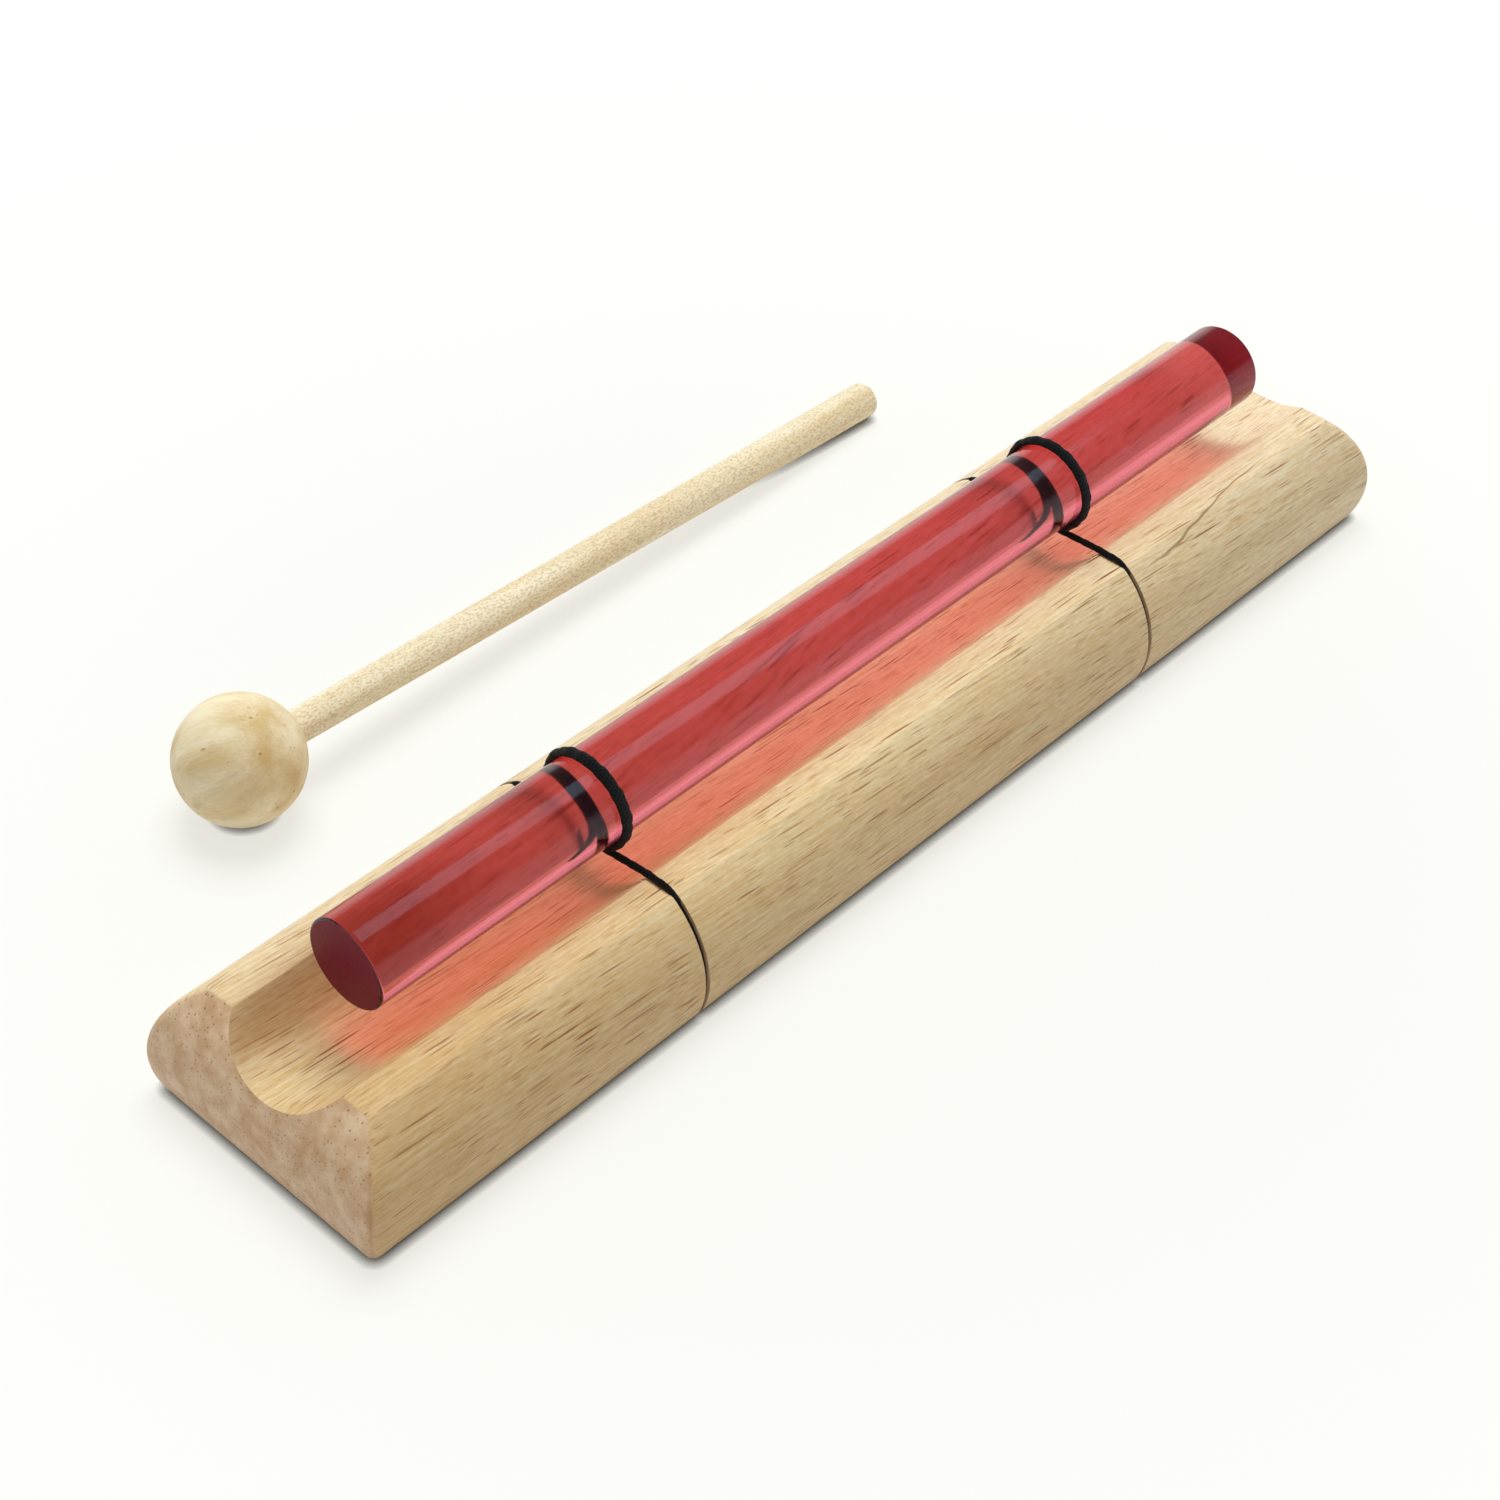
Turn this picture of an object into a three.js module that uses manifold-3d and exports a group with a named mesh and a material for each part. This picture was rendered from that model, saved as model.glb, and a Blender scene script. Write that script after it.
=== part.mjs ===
// Tabletop chime bar: a red glass rod hung by two elastic cords over the trough of a moulded wood base,
// with the wooden ball mallet that strikes it lying beside the base.
// Millimetres, +Z up. X runs along the base and Y across it, with the mallet on the +Y side.
// The origin is the middle of the base's underside.

import * as THREE from 'three';
import { mergeVertices } from 'three/addons/utils/BufferGeometryUtils.js';
import Module from 'manifold-3d';

const wasm = await Module();
wasm.setup();

// Wood base: one convex profile is moulded round all four sides, and a trough runs along the top
const baseLength = 225;
const baseWidth = 45;
const crestHeight = 19.9;
const sideRadius = 15.9;
const sideCentreHeight = 6.9;
const soleEdgeRadius = 1.8;
const crestEdgeRadius = 1.2;
const cornerRadius = 1.3;
const troughRadius = 13;
const troughDepth = 5.6;

// Saw kerfs that hold the cords, at the two still points of the sounding rod
const kerfSpacing = 101.1;
const kerfWidth = 1;
const kerfDepth = 2;

// Glass rod, hung level with its underside just above the crests
const rodDiameter = 13.9;
const rodLength = 191;
const rodClearAboveCrest = 1.25;
const rodEndChamfer = 0.4;

// Elastic cords: full thickness round the rod and over the crests, squeezed thin in the kerfs
const cordDiameter = 1.5;
const cordClearance = 0.15;
const kerfSideClearance = 0.1;
const strandGap = 0.9;

// Mallet: a turned ball on a dowel that widens a little towards its free end
const headDiameter = 20;
const socketDepth = 14;
const socketClearance = 0.25;
const handleNeckDiameter = 5.3;
const handleTipDiameter = 6.2;
const handleReach = 142.2;
const handleTipRound = 1.3;
const handleInnerChamfer = 0.4;
const malletHeadX = -68.4;
const malletHeadY = 54.8;
const malletYaw = THREE.MathUtils.degToRad(0.5);

// How far every cut runs past the surface that it opens
const cutOverrun = 3;

// Fineness of the round stretches
const sideSteps = 14;
const edgeSteps = 4;
const troughSegments = 96;
const rodSegments = 64;
const cordSides = 8;
const wrapSteps = 26;
const looseTubeSteps = 52;
const kerfTubeSteps = 48;
const headSegments = 40;
const handleSegments = 32;

// Places worked out from the sizes above
const sideCentreY = baseWidth / 2 - sideRadius;
const troughAxisHeight = crestHeight - troughDepth + troughRadius;
const crestInnerY = Math.sqrt(troughRadius ** 2 - (troughAxisHeight - crestHeight) ** 2);
const rodRadius = rodDiameter / 2;
const rodAxisHeight = crestHeight + rodClearAboveCrest + rodRadius;
const cordRadius = cordDiameter / 2;
const kerfCordRadius = kerfWidth / 2 - kerfSideClearance;
const crestCordHeight = crestHeight + cordClearance + cordRadius;
const headRadius = headDiameter / 2;
const handleNeckRadius = handleNeckDiameter / 2;
const handleTipRadius = handleTipDiameter / 2;

// Evenly spaced values from one number to another, both ends included
function spread(from, to, count) {
  return Array.from({ length: count + 1 }, (_, i) => from + (to - from) * i / count);
}

// Points on an arc, as pairs
function arc(centreA, centreB, radius, fromAngle, toAngle, count) {
  return spread(fromAngle, toAngle, count).map((angle) => [
    centreA + radius * Math.cos(angle),
    centreB + radius * Math.sin(angle),
  ]);
}

// Closed three.js geometry to a solid that can be joined and cut
function toSolid(geometry) {
  const bare = geometry.clone();
  bare.deleteAttribute('normal');
  bare.deleteAttribute('uv');
  const merged = mergeVertices(bare);
  return new wasm.Manifold(new wasm.Mesh({
    numProp: 3,
    vertProperties: new Float32Array(merged.attributes.position.array),
    triVerts: new Uint32Array(merged.index.array),
  }));
}

// Solid back to a three.js geometry
function toGeometry(solid) {
  const mesh = solid.getMesh();
  const geometry = new THREE.BufferGeometry();
  geometry.setAttribute('position', new THREE.BufferAttribute(new Float32Array(mesh.vertProperties), 3));
  geometry.setIndex(new THREE.BufferAttribute(new Uint32Array(mesh.triVerts), 1));
  geometry.computeVertexNormals();
  return geometry;
}

// Round body along X from [radius, place] pairs that start and end on the axis
function turned(profile, segments) {
  const points = profile.map(([radius, place]) => new THREE.Vector2(radius, place));
  return new THREE.LatheGeometry(points, segments).rotateZ(-Math.PI / 2);
}

// Skin over convex rings of equal point count, with flat ends. Each ring runs counter-clockwise
// seen from the side that the rings advance to.
function loft(rings) {
  const count = rings[0].length;
  const faces = [];
  for (let layer = 0; layer < rings.length - 1; layer += 1) {
    for (let i = 0; i < count; i += 1) {
      const a = layer * count + i;
      const b = layer * count + (i + 1) % count;
      faces.push(a, b, b + count, a, b + count, a + count);
    }
  }
  const last = (rings.length - 1) * count;
  for (let i = 1; i < count - 1; i += 1) {
    faces.push(0, i + 1, i, last, last + i, last + i + 1);
  }
  const geometry = new THREE.BufferGeometry().setFromPoints(rings.flat());
  geometry.setIndex(faces);
  return geometry;
}

// Tube of round section along a curve
function tube(curve, radius, steps) {
  const section = new THREE.Shape(
    arc(0, 0, radius, 0, 2 * Math.PI, cordSides).slice(0, cordSides).map(([a, b]) => new THREE.Vector2(a, b)),
  );
  return new THREE.ExtrudeGeometry(section, { extrudePath: curve, steps });
}

// The base's moulded profile as [across, up] pairs, from the sole up to the flat of the crest,
// drawn in on all sides by the inset
function sideProfile(inset) {
  const radius = sideRadius - inset;
  const soleReach = radius - soleEdgeRadius;
  const soleAngle = Math.asin((inset + soleEdgeRadius - sideCentreHeight) / soleReach);
  const crestReach = radius - crestEdgeRadius;
  const crestAngle = Math.asin((crestHeight - inset - crestEdgeRadius - sideCentreHeight) / crestReach);
  const soleCentreY = sideCentreY + soleReach * Math.cos(soleAngle);
  const crestCentreY = sideCentreY + crestReach * Math.cos(crestAngle);
  return [
    ...arc(soleCentreY, inset + soleEdgeRadius, soleEdgeRadius, -Math.PI / 2, soleAngle, edgeSteps),
    ...arc(sideCentreY, sideCentreHeight, radius, soleAngle, crestAngle, sideSteps).slice(1, -1),
    ...arc(crestCentreY, crestHeight - inset - crestEdgeRadius, crestEdgeRadius, crestAngle, Math.PI / 2, edgeSteps),
  ];
}

function mirrored(half) {
  return half.map(([y, z]) => [-y, z]).reverse();
}

// Level ring of the base at one point of its profile: a rectangle with rounded corners
function planRing([halfWidth, height]) {
  const middleX = (baseLength - baseWidth) / 2 + halfWidth - cornerRadius;
  const middleY = halfWidth - cornerRadius;
  const corners = [[middleX, middleY], [-middleX, middleY], [-middleX, -middleY], [middleX, -middleY]];
  return corners.flatMap(([x, y], turn) => (
    arc(x, y, cornerRadius, turn * Math.PI / 2, (turn + 1) * Math.PI / 2, edgeSteps)
  )).map(([x, y]) => new THREE.Vector3(x, y, height));
}

// Upright ring across the base, inside its surface by the inset
function crossRing(place, inset) {
  const half = sideProfile(inset);
  return [...half, ...mirrored(half)].map(([y, z]) => new THREE.Vector3(place, y, z));
}

function troughCutter() {
  const length = baseLength + 2 * cutOverrun;
  const cylinder = new THREE.CylinderGeometry(troughRadius, troughRadius, length, troughSegments);
  return toSolid(cylinder.rotateZ(Math.PI / 2).translate(0, 0, troughAxisHeight));
}

// Thin slab across the base that leaves the wood deeper than the kerf
function kerfCutter(place) {
  const slab = new THREE.BoxGeometry(kerfWidth, baseWidth + cutOverrun, 2 * (crestHeight + cutOverrun));
  const core = loft([crossRing(-kerfWidth, kerfDepth), crossRing(kerfWidth, kerfDepth)]);
  return toSolid(slab).subtract(toSolid(core)).translate([place, 0, 0]);
}

function woodBase() {
  let solid = toSolid(loft(sideProfile(0).map(planRing))).subtract(troughCutter());
  for (const side of [-1, 1]) {
    solid = solid.subtract(kerfCutter(side * kerfSpacing / 2));
  }
  return toGeometry(solid);
}

function glassRod() {
  const half = rodLength / 2;
  const profile = [
    [0, -half],
    [rodRadius - rodEndChamfer, -half],
    [rodRadius, -half + rodEndChamfer],
    [rodRadius, half - rodEndChamfer],
    [rodRadius - rodEndChamfer, half],
    [0, half],
  ];
  return turned(profile, rodSegments).translate(0, 0, rodAxisHeight);
}

// Route of the cord outside its kerf: from the back crest under the rod, once round it, under it again
// and on to the front crest. Its two strands lie side by side under the rod.
function looseCordRoute(place) {
  const wrapRadius = rodRadius + cordClearance + cordRadius;
  const rise = rodAxisHeight - crestCordHeight;
  const leaveAngle = Math.atan2(crestInnerY, rise) - Math.acos(wrapRadius / Math.hypot(crestInnerY, rise));
  const halfPitch = (cordDiameter + strandGap) / 2;
  const wrap = spread(-leaveAngle, 2 * Math.PI + leaveAngle, wrapSteps).map((angle, i) => new THREE.Vector3(
    place + halfPitch * (2 * i / wrapSteps - 1),
    -wrapRadius * Math.sin(angle),
    rodAxisHeight - wrapRadius * Math.cos(angle),
  ));
  const [crestOuterY] = sideProfile(0).at(-1);
  const onCrest = (y) => new THREE.Vector3(place, y, crestCordHeight);
  return [onCrest(crestOuterY), onCrest(crestInnerY), ...wrap, onCrest(-crestInnerY), onCrest(-crestOuterY)];
}

// Route of the squeezed cord: from inside the thick cord's end on one crest, down the flank in the kerf,
// along the underside and up to the other crest
function kerfCordRoute(place) {
  const profile = sideProfile(kerfDepth - kerfSideClearance - kerfCordRadius);
  const [crestOuterY] = profile.at(-1);
  const half = [...profile.slice(0, -1), [crestOuterY - cordDiameter, crestCordHeight]];
  return [...half.reverse(), ...mirrored(half)].map(([y, z]) => new THREE.Vector3(place, y, z));
}

// Least clear distance between stretches of the cord that aren't neighbours on its route
function leastGapToItself(route, diameter) {
  const points = new THREE.CatmullRomCurve3(route, false, 'centripetal').getSpacedPoints(looseTubeSteps * 4);
  const length = points.reduce((sum, point, i) => sum + (i ? point.distanceTo(points[i - 1]) : 0), 0);
  const apart = Math.ceil(Math.PI * diameter / (length / points.length));
  let least = Infinity;
  points.forEach((point, i) => {
    for (const other of points.slice(i + apart)) {
      least = Math.min(least, point.distanceTo(other) - diameter);
    }
  });
  return least;
}

function elasticCord(place) {
  const loose = new THREE.CatmullRomCurve3(looseCordRoute(place), false, 'centripetal');
  const squeezed = new THREE.CatmullRomCurve3(kerfCordRoute(place), false, 'centripetal');
  const looseTube = toSolid(tube(loose, cordRadius, looseTubeSteps));
  return toGeometry(looseTube.add(toSolid(tube(squeezed, kerfCordRadius, kerfTubeSteps))));
}

// Turned ball with a blind socket for the handle, which lies along +X from the ball's centre
function malletHead() {
  const ball = new THREE.SphereGeometry(headRadius, headSegments, headSegments / 2).rotateZ(-Math.PI / 2);
  const socketLength = socketDepth + cutOverrun;
  const socket = new THREE.CylinderGeometry(
    handleNeckRadius + socketClearance,
    handleNeckRadius + socketClearance,
    socketLength,
    handleSegments,
  ).rotateZ(-Math.PI / 2).translate(headRadius + cutOverrun - socketLength / 2, 0, 0);
  return toGeometry(toSolid(ball).subtract(toSolid(socket)));
}

function malletHandle() {
  const start = headRadius - socketDepth + socketClearance;
  const tipRound = arc(handleTipRadius - handleTipRound, handleReach - handleTipRound, handleTipRound,
    0, Math.PI / 2, edgeSteps);
  const profile = [
    [0, start],
    [handleNeckRadius - handleInnerChamfer, start],
    [handleNeckRadius, start + handleInnerChamfer],
    [handleNeckRadius, headRadius],
    ...tipRound,
    [0, handleReach],
  ];
  return turned(profile, handleSegments);
}

function piece(name, geometry, color, roughness) {
  const mesh = new THREE.Mesh(geometry, new THREE.MeshStandardMaterial({ color, roughness, metalness: 0 }));
  mesh.name = name;
  return mesh;
}

// The mallet rests on its ball and on the tip of its handle
function mallet() {
  const group = new THREE.Group();
  group.add(piece('mallet_head', malletHead(), '#e0cfa8', 0.55));
  group.add(piece('mallet_handle', malletHandle(), '#dfcca2', 0.65));
  const tilt = Math.asin((headRadius - handleTipRadius) / handleReach);
  group.position.set(malletHeadX, malletHeadY, headRadius);
  group.rotation.set(0, tilt, malletYaw, 'ZYX');
  return group;
}

const chimeBar = new THREE.Group();
chimeBar.add(piece('wood_base', woodBase(), '#d8bd8c', 0.6));
chimeBar.add(piece('glass_rod', glassRod(), '#b92b3a', 0.08));
chimeBar.add(piece('near_cord', elasticCord(-kerfSpacing / 2), '#17171a', 0.85));
chimeBar.add(piece('far_cord', elasticCord(kerfSpacing / 2), '#17171a', 0.85));
chimeBar.add(mallet());

const cordGap = leastGapToItself(looseCordRoute(0), cordDiameter);
console.log(`least gap of a cord to itself: ${cordGap.toFixed(2)} mm`);

export default chimeBar;
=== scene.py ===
import math

import bmesh
import bpy
from mathutils import Matrix, Vector


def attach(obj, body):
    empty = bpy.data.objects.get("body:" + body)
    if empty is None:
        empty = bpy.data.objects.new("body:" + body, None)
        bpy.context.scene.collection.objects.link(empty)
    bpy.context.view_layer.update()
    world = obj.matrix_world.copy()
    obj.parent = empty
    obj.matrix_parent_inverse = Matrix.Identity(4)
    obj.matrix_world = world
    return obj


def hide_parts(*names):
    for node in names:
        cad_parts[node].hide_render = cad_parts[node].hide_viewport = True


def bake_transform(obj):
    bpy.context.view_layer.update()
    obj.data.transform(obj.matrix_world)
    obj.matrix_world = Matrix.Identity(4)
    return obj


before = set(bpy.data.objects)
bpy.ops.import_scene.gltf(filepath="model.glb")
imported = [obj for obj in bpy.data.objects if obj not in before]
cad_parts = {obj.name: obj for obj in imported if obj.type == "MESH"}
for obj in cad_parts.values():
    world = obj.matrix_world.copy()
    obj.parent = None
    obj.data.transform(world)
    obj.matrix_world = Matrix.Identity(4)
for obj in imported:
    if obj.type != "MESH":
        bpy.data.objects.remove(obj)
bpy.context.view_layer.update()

# Chime bar: a red glass rod on two elastic cords over a moulded wood base, and its ball mallet.
# Sizes in the dictionaries are millimetres, and mm() turns them into Blender's metres.

sameSpot = 1e-7  # metres; points closer together than this count as one


def mm(value):
    return value / 1000


# Camera

camera = {
    "place": (-258.43, -203.25, 304.76),
    "yaw": 0.7021,  # turn of the view from +X towards +Y, in radians
    "pitch": 0.7433,  # tilt below level
    "roll": 0.0622,
    "lens": 70.506,
    "sensor": 36,
    "clipStart": 10,
}


def makeCamera():
    c = camera
    forward = Vector((
        math.cos(c["pitch"]) * math.cos(c["yaw"]),
        math.cos(c["pitch"]) * math.sin(c["yaw"]),
        -math.sin(c["pitch"]),
    ))
    right = forward.cross(Vector((0, 0, 1))).normalized()
    up = right.cross(forward)
    turn = Matrix.Rotation(-c["roll"], 3, forward)
    data = bpy.data.cameras.new("camera")
    data.lens = c["lens"]
    data.sensor_width = c["sensor"]
    data.clip_start = mm(c["clipStart"])
    cameraObject = bpy.data.objects.new("camera", data)
    axes = Matrix((turn @ right, turn @ up, -forward)).transposed()
    cameraObject.matrix_world = Matrix.Translation([mm(p) for p in c["place"]]) @ axes.to_4x4()
    bpy.context.scene.collection.objects.link(cameraObject)
    bpy.context.scene.camera = cameraObject


makeCamera()
print("camera ready")


# Helpers for nodes and meshes

# sRGB hex code to linear red, green and blue, with alpha 1
def linear(code):
    channels = [int(code[i:i + 2], 16) / 255 for i in (1, 3, 5)]
    return [c / 12.92 if c <= 0.04045 else ((c + 0.055) / 1.055) ** 2.4 for c in channels] + [1]


# Adds a node. Names in small letters are its own settings. The rest goes to its inputs, unnamed values in
# their order: a node or a socket is linked, and any other value is set.
def addNode(tree, kind, *values, **named):
    node = tree.nodes.new("ShaderNode" + kind)
    for name, value in named.items():
        if name[0].islower():
            setattr(node, name, value)
    inUse = [socket for socket in node.inputs if socket.enabled]
    inputs = list(zip(inUse, values))
    for name, value in named.items():
        if name[0].isupper():
            inputs.append((node.inputs[name.replace("_", " ")], value))
    for socket, value in inputs:
        if isinstance(value, bpy.types.Node):
            value = next(output for output in value.outputs if output.enabled)
        if isinstance(value, bpy.types.NodeSocket):
            tree.links.new(value, socket)
        else:
            socket.default_value = value
    return node


def newMaterial(name):
    material = bpy.data.materials.new(name)
    material.use_nodes = True
    material.node_tree.nodes.clear()
    return material, material.node_tree


# Object coordinates in millimetres, turned
def objectPlace(tree, turn=(0, 0, 0)):
    place = addNode(tree, "TexCoord").outputs["Object"]
    return addNode(tree, "Mapping", Vector=place, Rotation=turn, Scale=(1000, 1000, 1000))


# Turns a built bmesh into a finished piece: smooth, with edges sharper than the angle kept crisp
def finishPiece(bm, name, material, sharpAngle=35):
    mesh = bpy.data.meshes.new(name)
    bm.to_mesh(mesh)
    bm.free()
    return placeMesh(mesh, name, material, sharpAngle)


def placeMesh(mesh, name, material, sharpAngle):
    mesh.materials.clear()
    mesh.materials.append(material)
    mesh.polygons.foreach_set("use_smooth", [True] * len(mesh.polygons))
    mesh.set_sharp_from_angle(angle=math.radians(sharpAngle))
    piece = bpy.data.objects.new(name, mesh)
    bpy.context.scene.collection.objects.link(piece)
    return piece


# Shape after its modifiers, as a plain mesh; the helper objects are removed
def bakeModifiers(shape, *helpers):
    bpy.context.view_layer.update()
    finished = shape.evaluated_get(bpy.context.evaluated_depsgraph_get())
    mesh = bpy.data.meshes.new_from_object(finished)
    for used in (shape, *helpers):
        bpy.data.objects.remove(used)
    return mesh


def helperObject(bm, name):
    bmesh.ops.recalc_face_normals(bm, faces=bm.faces)
    mesh = bpy.data.meshes.new(name)
    bm.to_mesh(mesh)
    bm.free()
    helper = bpy.data.objects.new(name, mesh)
    bpy.context.scene.collection.objects.link(helper)
    return helper


def addCut(shape, cutter):
    modifier = shape.modifiers.new("cut", "BOOLEAN")
    modifier.operation = "DIFFERENCE"
    modifier.solver = "EXACT"
    modifier.object = cutter


def vertsOf(geometry):
    return [g for g in geometry if isinstance(g, bmesh.types.BMVert)]


def arcPoints(centre, radius, fromAngle, toAngle, steps):
    angles = [fromAngle + (toAngle - fromAngle) * i / steps for i in range(steps + 1)]
    return [(centre[0] + radius * math.cos(a), centre[1] + radius * math.sin(a)) for a in angles]


# Loops across the length at both ends, so that the rounding there doesn't bend the long faces' shading
def cutNearEnds(bm, place):
    for x in (-mm(place), mm(place)):
        everything = bm.verts[:] + bm.edges[:] + bm.faces[:]
        bmesh.ops.bisect_plane(bm, geom=everything, dist=sameSpot, plane_co=(x, 0, 0), plane_no=(1, 0, 0))


# Wood base

woodBase = {
    "length": 225,
    "width": 45,
    "crestHeight": 19.9,
    "sideRadius": 15.9,
    "sideCentreHeight": 6.9,
    "soleEdge": 1.8,
    "crestEdge": 1.2,
    "corner": 1.3,
    "mouldedEnd": 9,  # length of each end in which the moulding draws the corners in
    "troughRadius": 13,
    "troughDepth": 5.6,
    "edgeEase": 0.3,  # sanding of the edges that the trough leaves
    "kerfSpacing": 101.1,
    "kerfWidth": 0.85,
    "kerfDepth": 2,
    "kerfReach": 4,  # of the saw past the surface
    "sharpAngle": 30,
    "steps": {"sole": 6, "side": 40, "crest": 8, "corner": 6, "lip": 5, "trough": 40},
}


# Half width and height of the moulded side, from the sole up to the crest, drawn in by the inset
def sideProfile(inset=0):
    b = woodBase
    steps = b["steps"]
    radius = b["sideRadius"] - inset
    centreY = b["width"] / 2 - b["sideRadius"]
    soleHeight = inset + b["soleEdge"]
    crestHeight = b["crestHeight"] - inset - b["crestEdge"]
    soleAngle = math.asin((soleHeight - b["sideCentreHeight"]) / (radius - b["soleEdge"]))
    crestAngle = math.asin((crestHeight - b["sideCentreHeight"]) / (radius - b["crestEdge"]))
    soleY = centreY + (radius - b["soleEdge"]) * math.cos(soleAngle)
    crestY = centreY + (radius - b["crestEdge"]) * math.cos(crestAngle)
    return [
        *arcPoints((soleY, soleHeight), b["soleEdge"], -math.pi / 2, soleAngle, steps["sole"]),
        *arcPoints((centreY, b["sideCentreHeight"]), radius, soleAngle, crestAngle, steps["side"])[1:-1],
        *arcPoints((crestY, crestHeight), b["crestEdge"], crestAngle, math.pi / 2, steps["crest"]),
    ]


# The sole's outline is drawn flat, and its face is pulled up step by step along the side's profile
def mouldedBlank():
    b = woodBase
    bm = bmesh.new()
    profile = sideProfile()
    halfWidth = profile[0][0]
    halfLength = (b["length"] - b["width"]) / 2 + halfWidth
    bmesh.ops.create_grid(bm, x_segments=1, y_segments=1, size=1)
    bmesh.ops.scale(bm, vec=(mm(halfLength), mm(halfWidth), 1), verts=bm.verts)
    bmesh.ops.bevel(bm, geom=bm.verts[:], offset=mm(b["corner"]), segments=b["steps"]["corner"], profile=0.5,
                    affect="VERTICES", material=-1)
    region = bm.faces[:] + bm.edges[:]
    for (y, z), (nextY, nextZ) in zip(profile, profile[1:]):
        region = bmesh.ops.extrude_face_region(bm, geom=region)["geom"]
        step = mm(nextY - y)
        for vert in vertsOf(region):
            outwards = [math.copysign(step, place * step) for place in vert.co.xy]
            vert.co += Vector((*outwards, 0))
            vert.co.z = mm(nextZ)
    cutNearEnds(bm, b["length"] / 2 - b["mouldedEnd"])
    return helperObject(bm, "blank")


# Cross-section of the trough and the air above it, with the lips a little rounded, drawn out along the base
def troughCutter():
    b = woodBase
    steps = b["steps"]
    radius, ease, crest = b["troughRadius"], b["edgeEase"], b["crestHeight"]
    axisHeight = crest - b["troughDepth"] + radius
    lipHeight = crest - ease
    lipY = math.sqrt((radius + ease) ** 2 - (axisHeight - lipHeight) ** 2)
    lipAngle = math.atan2(axisHeight - lipHeight, -lipY)  # from the lip's centre to the trough's axis
    half = [
        (lipY, crest + radius),
        *arcPoints((lipY, lipHeight), ease, math.pi / 2, lipAngle, steps["lip"]),
        *arcPoints((0, axisHeight), radius, lipAngle - math.pi, -math.pi / 2, steps["trough"])[1:],
    ]
    outline = half + [(-y, z) for y, z in half[-2::-1]]
    bm = bmesh.new()
    start = -b["length"]
    face = bm.faces.new([bm.verts.new((mm(start), mm(y), mm(z))) for y, z in outline])
    grown = bmesh.ops.extrude_face_region(bm, geom=[face])["geom"]
    bmesh.ops.translate(bm, vec=(mm(-2 * start), 0, 0), verts=vertsOf(grown))
    return helperObject(bm, "trough")


# Frame-shaped plate that saws one kerf: its hole is the wood that stays
def kerfCutter(place):
    b = woodBase
    bm = bmesh.new()
    edges = []
    for inset in (b["kerfDepth"], -b["kerfReach"]):
        half = sideProfile(inset)
        outline = half + [(-y, z) for y, z in reversed(half)]
        ring = [bm.verts.new((mm(place - b["kerfWidth"] / 2), mm(y), mm(z))) for y, z in outline]
        edges += [bm.edges.new((ring[i - 1], ring[i])) for i in range(len(ring))]
    bmesh.ops.bridge_loops(bm, edges=edges)
    grown = bmesh.ops.extrude_face_region(bm, geom=bm.faces[:])["geom"]
    bmesh.ops.translate(bm, vec=(mm(b["kerfWidth"]), 0, 0), verts=vertsOf(grown))
    return helperObject(bm, "kerfCutter")


def makeWoodBase(material):
    b = woodBase
    blank = mouldedBlank()
    trough = troughCutter()
    cutters = [kerfCutter(side * b["kerfSpacing"] / 2) for side in (-1, 1)]
    for cutter in (trough, *cutters):
        addCut(blank, cutter)
    mesh = bakeModifiers(blank, trough, *cutters)
    piece = placeMesh(mesh, "baseOfWood", material, b["sharpAngle"])
    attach(piece, "base")
    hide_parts("wood_base")


# Rubberwood, planed, moulded and oiled matt: cream long grain with brown pore streaks, browner end grain
rubberwood = {
    "pale": "#f8e8bd",
    "palest": "#fdf5dc",
    "deep": "#dfc392",
    "pore": "#92521f",
    "growthLine": "#957040",
    "endGrain": "#e8cdab",
    "endGrainDeep": "#d0aa81",
    "endPore": "#7a4c30",
    "edgeAmber": "#c08a50",
    "paintedShadeBrown": "#b08350",
    "roughness": 0.52,
    "ior": 1.4,
    "grainDrift": 2.6,  # degrees by which the fibres drift off the base's length
    "driftTilt": 0.6,  # share of the drift that also tips them up
    "waveLength": (55, 20, 20),
    "waveHeight": 2.8,
    # Each pattern's length and width along the fibre, then its detail and its lowest and highest noise
    "bands": (90, 8, 3),
    "threads": (14, 0.35),
    "speckle": (1.6, 0.5),
    "endMottle": (4, 3, 4, 0.35, 0.65),
    "endGrit": (1, 0.3),
    # How strongly each of them tells
    "threadShare": 0.5,
    "speckleShare": 0.3,
    "endGritShare": 0.2,
    "threadHeight": 0.3,  # of a pore's depth
    "bumpStrength": 0.3,
    "bumpHeight": 0.05,
    # Cell length and width, a pore's half size in cells, the share of cells left out, and strength
    "pores": ((13, 0.55, 0.24, 0.4, 0.8), (24, 0.85, 0.19, 0.3, 1.0), (60, 0.75, 0.19, 0.3, 0.75),
              (6, 0.34, 0.26, 0.2, 0.6)),
    "endPores": (26, 0.7, 0.2, 0.2, 0.8),
    "poreEdge": (0.7, 1.2),  # soft edge of a pore, as shares of its half size
    # Places across the board where each tone begins and is full, and its most. They slant by the lean.
    "lean": 0.16,
    "paleSide": (-22, 16, 0.8),
    "deepSide": (-18, -45, 0.9),
    "paintedShadePlace": (-92, 8.5, 16),  # middle of the painted shade, a browner patch where the trough's back wall lies in shade
    "paintedShadeReach": (34, 7, 7.5),
    "paintedShadeCore": 0.3,  # share of its reach in which it is full
    "paintedShadeShare": 0.75,
    # How much a surface faces along the length, or along and across, where end grain and amber corners begin
    "endFacing": (0.3, 0.6),
    "cornerFacing": (0.35, 0.7),
    "cornerShare": 0.45,
}


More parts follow.
